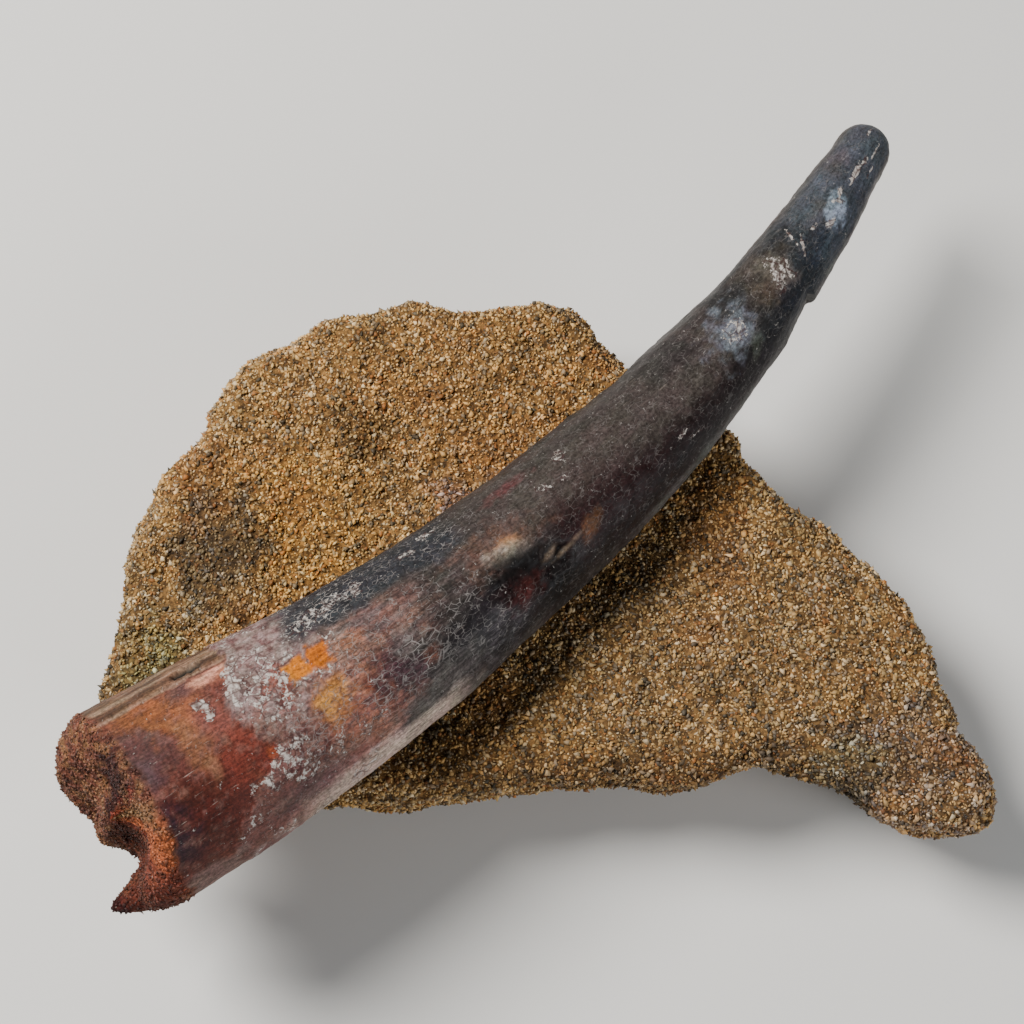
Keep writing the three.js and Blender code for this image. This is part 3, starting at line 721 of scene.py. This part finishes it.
def tooth_material():
    looks = Looks("fossil tooth")
    lay = looks.kept("lay", "Vector")
    colour = looks.kept("colour", "Color")
    wander = looks.noise(lay, 0.9, 4, 0.6, "Color")
    bent = looks.node("ShaderNodeVectorMath", 0, {0: wander, 1: (0.45, 0.3, 0.3), 2: lay},
                      operation="MULTIPLY_ADD")
    # Purple and green tinges
    tinge = looks.ranged(looks.noise(lay, 0.33, 4, 0.6), 0.35, 0.65)
    colour = looks.toned(colour, tinge, (0.93, 0.98, 0.92), (1.08, 0.99, 1.02))
    # Fine mottling and fibres
    fine = looks.noise(lay, 2.6, 6, 0.65)
    fibre = looks.noise(looks.scaled(lay, (0.1, 1, 1)), 2.6, 5, 0.65)
    colour = looks.toned(colour, looks.ranged(fine, 0.32, 0.68), (0.6, 0.58, 0.57), (1.42, 1.42, 1.42))
    fibrous = looks.toned(colour, looks.ranged(fibre, 0.32, 0.68), (0.5, 0.48, 0.47), (1.5, 1.5, 1.5))
    colour = looks.mix(looks.kept("streaks"), colour, fibrous)
    # Hair cracks, dark and mostly lengthwise
    hair = looks.from_middle(looks.noise(looks.scaled(bent, (0.3, 1, 1)), 0.85, 4, 0.55))
    hair = looks.ranged(looks.calc("ABSOLUTE", hair), 0.002, 0.014, 1.0, 0.0)
    colour = looks.marked(colour, hair, 0.45, "1a1312")
    # Pale net of fine cracks, and the wider lattice
    long_cells = looks.scaled(bent, (0.62, 1, 1))
    edge_big = looks.cells(long_cells, LATTICE_CELLS)
    edge_small = looks.cells(long_cells, NET_CELLS)
    broken = looks.ranged(looks.noise(lay, 0.9, 5, 0.65), 0.42, 0.62)
    mostly = looks.ranged(looks.noise(lay, 0.6, 4, 0.65), 0.36, 0.5)
    lines_big = looks.times(looks.ranged(edge_big, 0.01, 0.055, 1.0, 0.0), mostly)
    lines_small = looks.times(looks.ranged(edge_small, 0.01, 0.07, 1.0, 0.0), broken)
    for cells, where in ((LATTICE_CELLS, "lattice"), (NET_CELLS, "crackle")):
        tinted = looks.toned(colour, looks.cell_share(long_cells, cells), (0.55, 0.53, 0.54), (1.4, 1.4, 1.4))
        colour = looks.mix(looks.times(looks.kept(where), 0.85), colour, tinted)
    seams = looks.times(looks.ranged(edge_small, 0.05, 0.2, 1.0, 0.0), looks.kept("crackle"))
    colour = looks.marked(colour, seams, 0.5, "1c1618")
    net = looks.calc("MAXIMUM", looks.times(lines_big, looks.kept("lattice")),
                     looks.times(lines_small, looks.kept("crackle")))
    colour = looks.marked(colour, net, 0.7, "a09a96")
    # Scratches and pale specks
    scratch = looks.ranged(looks.noise(looks.scaled(bent, (0.06, 1, 1)), 3.6, 4, 0.6), 0.64, 0.74)
    colour = looks.marked(colour, looks.times(scratch, looks.kept("scratches")), 0.55, "a89a90")
    dots = looks.ranged(looks.cells(bent, 1.7, "F1"), 0.1, 0.26, 1.0, 0.0)
    dots = looks.times(dots, looks.times(looks.kept("specks"), broken))
    colour = looks.marked(colour, dots, 0.3, "8e8a86")
    # Mineral crust, with its edge broken up by noise
    crumbly = looks.noise(bent, 1.5, 5, 0.65)
    veins = looks.calc("ABSOLUTE", looks.from_middle(looks.noise(lay, 0.75, 4, 0.62)))
    veins = looks.ranged(veins, 0.008, 0.05, 1.0, 0.0)
    patchy = looks.calc("MULTIPLY_ADD", looks.from_middle(crumbly), 2.6, looks.times(veins, 0.5))
    crust = looks.ranged(looks.plus(looks.kept("crust"), patchy), 0.72, 1.16)
    crust_colour = looks.mix(looks.ranged(crumbly, 0.35, 0.65), linear("75665f"), linear("c0bab3"))
    colour = looks.mix(looks.times(crust, 0.88), colour, crust_colour)
    # Dark cracks through the crust and the foot of the enamel
    gaps = looks.ranged(looks.cells(looks.scaled(bent, (0.8, 1, 1)), CRUST_CELLS), 0.01, 0.075, 1.0, 0.0)
    gaps = looks.times(gaps, looks.ranged(looks.kept("crust"), 0.25, 0.5))
    colour = looks.marked(colour, gaps, 0.7, "3a2624")
    # Grit of the break
    grit = looks.kept("grit")
    sand = looks.cells(lay, GRIT_CELLS, "F1")
    sandy = looks.toned(colour, looks.cell_share(lay, GRIT_CELLS), (0.45, 0.42, 0.4), (1.7, 1.6, 1.45))
    colour = looks.mix(grit, colour, sandy)
    # Roughness and fine bumps
    rough = looks.plus(looks.kept("gloss"), looks.times(looks.from_middle(fine), 0.35))
    rough = looks.calc("MAXIMUM", rough, looks.times(crust, 0.85))
    height = looks.plus(looks.times(fine, 0.5), looks.times(fibre, 0.5))
    height = looks.plus(height, looks.times(crust, looks.plus(crumbly, 0.6)))
    height = looks.plus(height, looks.times(looks.times(sand, grit), -2.2))
    return looks.finish(colour, rough, looks.bump(height, 0.55, 0.0001), TOOTH_SPECULAR)


# The sandstone

# Broad stains, the last a strip of painted shade along the front edge: colour, middle, half width, half depth
# and strength
STAINS = [
    ("bb8a45", -41, 6, 9, 9, 0.9), ("b5854a", -20, 22, 20, 9, 0.5), ("66543a", -50, 2, 6.5, 7, 0.9),
    ("7a6848", -58, -12, 6, 9, 0.7), ("8e8148", -58, -11, 4, 5, 0.6), ("8c7060", -21, 9, 4.5, 3, 0.7),
    ("8e7048", 12, -12, 24, 16, 0.6), ("8a7056", 36, -26, 12, 8, 0.7), ("9c9468", 27, -25.6, 5, 2.5, 0.7),
    # The last stain, a dark strip along the front edge and front side, is painted shade
    ("4c4c3c", 29, -27.6, 4, 1.6, 0.8), ("6b4c2a", 10, -26, 34, 3, 0.6),
]


def slab_place(points):
    """Colour of the stone at each point."""
    base = np.tile(linear(STONE_COLOUR), (len(points), 1))
    n4, n9, n1 = layered(points, 4.0, 4, 80), layered(points, 11.0, 4, 84), layered(points, 1.6, 3, 88)
    for code, x, y, wide, deep, strength in STAINS:
        far = np.hypot((points[:, 0] - x) / wide, (points[:, 1] - y) / deep)
        mask = (1 - ease(far + 0.6 * n4, 0.5, 1.4)) * strength
        base += (linear(code) - base) * np.clip(mask, 0, 1)[:, None]
    rust = ease(n9, 0.15, 0.6)[:, None]
    base += (linear("8f5a2c") - base) * rust * 0.35
    dark = ease(-n9 + 0.4 * n1, 0.2, 0.7)[:, None]
    base += (linear("5d4728") - base) * dark * 0.5
    return base


def gap_to(tree, points):
    """Distance from points to a surface, where it is near."""
    far = NEAR_TOOTH * MM
    return np.array([tree.find_nearest(Vector(point * MM), far)[3] or far for point in points]) / MM


def make_stone(tooth_tree):
    """The slab's body: the solid drawn finely, with worn and pitted faces."""
    block = bpy.data.objects.new("block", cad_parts["sandstone_slab"].data.copy())
    bpy.context.scene.collection.objects.link(block)
    remesh = block.modifiers.new("fine", "REMESH")
    remesh.mode = "VOXEL"
    remesh.voxel_size = VOXEL * MM
    soften = block.modifiers.new("soften", "SMOOTH")
    soften.factor = SOFTENING["factor"]
    soften.iterations = SOFTENING["steps"]
    graph = bpy.context.evaluated_depsgraph_get()
    fine = bpy.data.meshes.new_from_object(block.evaluated_get(graph))
    bpy.data.objects.remove(block)
    points = np.zeros(len(fine.vertices) * 3)
    fine.vertices.foreach_get("co", points)
    points = points.reshape(-1, 3) / MM
    normals = np.zeros(len(fine.vertices) * 3)
    fine.vertices.foreach_get("normal", normals)
    normals = normals.reshape(-1, 3)
    fine.calc_loop_triangles()
    faces = np.zeros(len(fine.loop_triangles) * 3, np.int32)
    fine.loop_triangles.foreach_get("vertices", faces)
    bpy.data.meshes.remove(fine)
    side = 1 - ease(np.abs(normals[:, 2]), 0.35, 0.8)
    relief = STONE_RELIEF["broad"] * layered(points, 6.5, 4, 90)
    relief += STONE_RELIEF["narrow"] * layered(points, 2.0, 3, 95)
    relief += STONE_RELIEF["beds"] * side * layered(points * [0.16, 0.16, 1], 1.5, 3, 98)
    relief += STONE_RELIEF["pits"] * ease(layered(points, 2.6, 3, 101), 0.42, 0.75)
    relief = np.minimum(relief, gap_to(tooth_tree, points) - LEAST_GAP)
    # The patch that it rests on stays flat
    under = ease(-normals[:, 2], 0.5, 0.9)
    relief *= np.maximum(ease(points[:, 2], 0.2, 1.5), STONE_RELIEF["under"] * under)
    points = points + normals * relief[:, None]
    points[:, 2] = np.maximum(points[:, 2], 0)
    return points, faces.reshape(-1, 3), normals


def spread_grains(points, faces, spacing_at, rng):
    """Places and directions of grains, and the face that each lies on, scattered and kept apart."""
    a, b, c = (points[faces[:, k]] for k in range(3))
    cross = np.cross(b - a, c - a)
    area = np.linalg.norm(cross, axis=1) / 2
    tries = int(area.sum() * GRAIN_TRIES)
    chosen = rng.choice(len(faces), tries, p=area / area.sum())
    u, v = rng.random(tries), rng.random(tries)
    over = u + v > 1
    u[over], v[over] = 1 - u[over], 1 - v[over]
    places = a[chosen] + (b - a)[chosen] * u[:, None] + (c - a)[chosen] * v[:, None]
    ways = cross[chosen] / (2 * area[chosen])[:, None]
    spacing = spacing_at(places, ways)
    reach = spacing.max()
    cells = {}
    kept = []
    keys = np.floor(places / reach).astype(int).tolist()
    spots, gaps = places.tolist(), (spacing ** 2).tolist()
    nearby = [(i, j, k) for i in (0, -1, 1) for j in (0, -1, 1) for k in (0, -1, 1)]
    for index, ((x, y, z), (px, py, pz), gap) in enumerate(zip(keys, spots, gaps)):
        if not any((qx - px) ** 2 + (qy - py) ** 2 + (qz - pz) ** 2 < gap
                   for i, j, k in nearby for qx, qy, qz in cells.get((x + i, y + j, z + k), ())):
            cells.setdefault((x, y, z), []).append((px, py, pz))
            kept.append(index)
    return places[kept], ways[kept], chosen[kept]


# A grain before it is squashed: eight faces on six corners
GRAIN_CORNERS = np.array([(1, 0, 0), (0, 1, 0), (0, 0, 1), (-1, 0, 0), (0, -1, 0), (0, 0, -1)], float)
GRAIN_FACES = np.array([(0, 1, 2), (1, 3, 2), (3, 4, 2), (4, 0, 2), (1, 0, 5), (3, 1, 5), (4, 3, 5), (0, 4, 5)])


def grain_meshes(places, radii, rng):
    """Points of all the grains: each an uneven, squashed and turned lump."""
    count = len(places)
    turns = np.linalg.qr(rng.normal(size=(count, 3, 3)))[0]
    turns *= np.sign(np.linalg.det(turns))[:, None, None]
    shape = GRAIN_CORNERS[None] + GRAIN_UNEVENNESS * rng.normal(size=(count, len(GRAIN_CORNERS), 3))
    squash = np.column_stack([rng.uniform(low, high, count) for low, high in GRAIN_SQUASH])
    local = shape * (radii[:, None] * squash)[:, None, :]
    return places[:, None] + local @ turns


def add_grains(name, points, colours, material):
    """One joined mesh of grains, each with its own colour and its own cell of the unwrapping."""
    count, corners = points.shape[:2]
    every = (np.arange(count) * corners)[:, None, None] + GRAIN_FACES[None]
    made = make_object(name, points.reshape(-1, 3), every.reshape(-1, 3))
    store(made.data, "colour", np.repeat(colours, corners, axis=0))
    across = math.ceil(math.sqrt(count))
    column, row = np.arange(count) % across, np.arange(count) // across
    corner_place = np.array([(0.3, 0.3), (0.7, 0.3), (0.5, 0.7)])
    cell = np.column_stack([column, row])[:, None, None] + corner_place[None, None]
    uv = np.broadcast_to(cell, (count, len(GRAIN_FACES), 3, 2)) / across
    made.data.uv_layers.new(name="OFBake").data.foreach_set("uv", np.ascontiguousarray(uv, np.float32).ravel())
    made.data.materials.append(material)
    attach(made, "root")


def stone_material():
    looks = Looks("sandstone cement")
    place = looks.place()
    cement = looks.ranged(looks.noise(place, 1.6, 3, 0.7), 0.3, 0.7)
    colour = looks.toned(looks.kept("colour", "Color"), cement, (0.13, 0.115, 0.105), (0.56, 0.53, 0.5))
    # Worn grains between and under the loose ones
    colour = looks.toned(colour, looks.cell_share(place, STONE_CELLS), (0.55, 0.53, 0.5), (1.6, 1.56, 1.5))
    normal = looks.bump(looks.noise(place, 2.5, 2, 0.75), 0.9, 0.0002)
    return looks.finish(colour, 0.95, normal, STONE_SPECULAR)


def grain_material(name):
    looks = Looks(name)
    fine = looks.noise(looks.place(), 3.0, 1, 0.6)
    colour = looks.toned(looks.kept("colour", "Color"), fine, (0.7, 0.68, 0.64), (1.3, 1.28, 1.24))
    rough = looks.ranged(fine, 0.3, 0.7, 0.5, 0.8)
    return looks.finish(colour, rough, looks.bump(fine, 0.3, 0.0001), STONE_SPECULAR)


GRAIN_KINDS = [
    # name, share, colour and how far the stain of the place shows through
    ("quartz", 0.15, "ccb084", 0.45),
    ("stained quartz", 0.45, "b8925a", 0.6),
    ("iron", 0.08, "966434", 0.5),
    ("smoky", 0.22, "8c765a", 0.5),
    ("dark", 0.10, "544836", 0.3),
]


def grain_colours(places, rng):
    """Colours of the sand grains, drawn by kind and tinted by the stone's stains."""
    shares = np.array([kind[1] for kind in GRAIN_KINDS])
    kinds = rng.choice(len(GRAIN_KINDS), len(places), p=shares / shares.sum())
    own = np.array([linear(kind[2]) for kind in GRAIN_KINDS])[kinds]
    through = np.array([kind[3] for kind in GRAIN_KINDS])[kinds][:, None]
    tint = slab_place(places) / linear(STONE_COLOUR)
    clusters = 1 + 0.3 * np.clip(layered(places, 1.7, 3, 130), -1, 1)[:, None]
    cooler = rng.uniform(-0.06, 0.1, (len(places), 1)) * np.array([-1, 0, 1.4])
    shade = clusters * (1 + cooler) * rng.uniform(*GRAIN_SHADE, (len(places), 1))
    return np.clip(own * (1 - through + through * tint) * tint ** 0.5 * shade, 0, 0.95)


def sand_spacing(spots, ways):
    """How far apart grains lie: further on the underside."""
    under = (ways[:, 2] < -0.3) | (spots[:, 2] < 1.5)
    wanted = np.where(under, GRAIN_SPACING_UNDER, GRAIN_SPACING)
    return wanted * (1 + 0.25 * np.clip(noise(spots, 3.0, 110), -1, 1))


def make_slab(tooth_points, tooth_faces):
    """The slab: its worn body, and the loose grains wherever the tooth leaves room for them."""
    rng = np.random.default_rng(SAND_SEED)
    tooth_tree = BVHTree.FromPolygons((tooth_points * MM).tolist(), tooth_faces.tolist())
    points, faces, normals = make_stone(tooth_tree)
    body = make_object("sandstone_body", points, faces)
    bare = ease(-normals[:, 2], 0.2, 0.6)[:, None]
    store(body.data, "colour", slab_place(points) * (1 + (UNDERSIDE_LIGHTER - 1) * bare))
    body.data.materials.append(stone_material())
    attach(body, "root")
    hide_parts("sandstone_slab")
    places, ways, _ = spread_grains(points, faces, sand_spacing, rng)
    radii = GRAIN_RADIUS[0] + (GRAIN_RADIUS[1] - GRAIN_RADIUS[0]) * rng.random(len(places)) ** 1.6
    pores = (layered(places, 0.9, 2, 120) > PORE_LEVEL) | (rng.random(len(places)) < LOST_GRAINS)
    low = places[:, 2] < radii * 2
    kept = ~pores & (gap_to(tooth_tree, places) > radii * 2 + 0.1) & ~low
    places, ways, radii = places[kept], ways[kept], radii[kept]
    places = places + ways * (radii * rng.uniform(*GRAIN_SINK, len(radii)))[:, None]
    colours = grain_colours(places, rng)
    shapes = grain_meshes(places, radii, rng)
    material = grain_material("sand grains")
    pieces = math.ceil(len(places) / GRAINS_PER_PIECE)
    order = rng.permutation(len(places))
    for index in range(pieces):
        some = np.sort(order[index::pieces])
        add_grains(f"sand_grains_{index + 1}", shapes[some], colours[some], material)


def make_break_grit(skin, points, faces):
    """Loose grit of dentine and sand that covers the broken end."""
    rng = np.random.default_rng(GRIT_SEED)
    rough_faces = faces[np.min(skin.grit[faces], axis=1) > 0.5]
    places, ways, chosen = spread_grains(
        points, rough_faces, lambda spots, ways: np.full(len(spots), GRIT_SPACING), rng)
    colours = skin.colour[rough_faces[chosen][:, 0]] * rng.uniform(*GRIT_TINT, (len(places), 1)) ** 1.5
    radii = rng.uniform(*GRIT_RADIUS, len(places))
    places = places + ways * (radii * rng.uniform(*GRIT_SINK, len(radii)))[:, None]
    shapes = grain_meshes(places, radii, rng)
    material = grain_material("dentine grit")
    add_grains("break_grit", shapes, np.clip(colours, 0, 0.9), material)


# Stage, lights and camera

def aim(thing, place, target):
    thing.location = Vector(place) * MM
    thing.rotation_euler = (Vector(target) - Vector(place)).to_track_quat("-Z", "Y").to_euler()


def add_light(name, place, watts, colour):
    data = bpy.data.lights.new(name, "AREA")
    data.shape = "DISK"
    data.size = LIGHT_SIZE * MM
    data.energy = watts
    data.color = colour
    light = bpy.data.objects.new(name, data)
    bpy.context.scene.collection.objects.link(light)
    aim(light, place, LIGHT_TARGET)


def make_stage():
    """The floor, the sky and the lights."""
    half = FLOOR_SIZE / 2
    corners = [(-half, -half), (half, -half), (half, half), (-half, half)]
    floor = make_object("floor", [(x, y, FLOOR_HEIGHT) for x, y in corners], [(0, 1, 2, 3)])
    looks = Looks("floor")
    looks.plug(looks.shader.inputs["Base Color"], linear(FLOOR_COLOUR))
    looks.plug(looks.shader.inputs["Roughness"], FLOOR_ROUGHNESS)
    floor.data.materials.append(looks.material)
    world = bpy.data.worlds.new("studio")
    world.use_nodes = True
    background = world.node_tree.nodes["Background"]
    background.inputs["Color"].default_value = SKY["colour"]
    background.inputs["Strength"].default_value = SKY["strength"]
    bpy.context.scene.world = world
    for name, place, watts, colour in LIGHTS:
        add_light(name, place, watts, colour)


def make_camera():
    """The photo's point of view."""
    data = bpy.data.cameras.new("camera")
    data.lens = CAMERA_LENS
    data.clip_end = CAMERA_REACH_METRES
    camera = bpy.data.objects.new("camera", data)
    bpy.context.scene.collection.objects.link(camera)
    bpy.context.scene.camera = camera
    back = Vector((0, -math.cos(CAMERA_ELEVATION), math.sin(CAMERA_ELEVATION)))
    aim(camera, Vector(CAMERA_TARGET) + back * CAMERA_DISTANCE, CAMERA_TARGET)


tooth_skin, tooth_points, tooth_faces = make_tooth()
make_break_grit(tooth_skin, tooth_points, tooth_faces)
make_slab(tooth_points, tooth_faces)
make_stage()
make_camera()
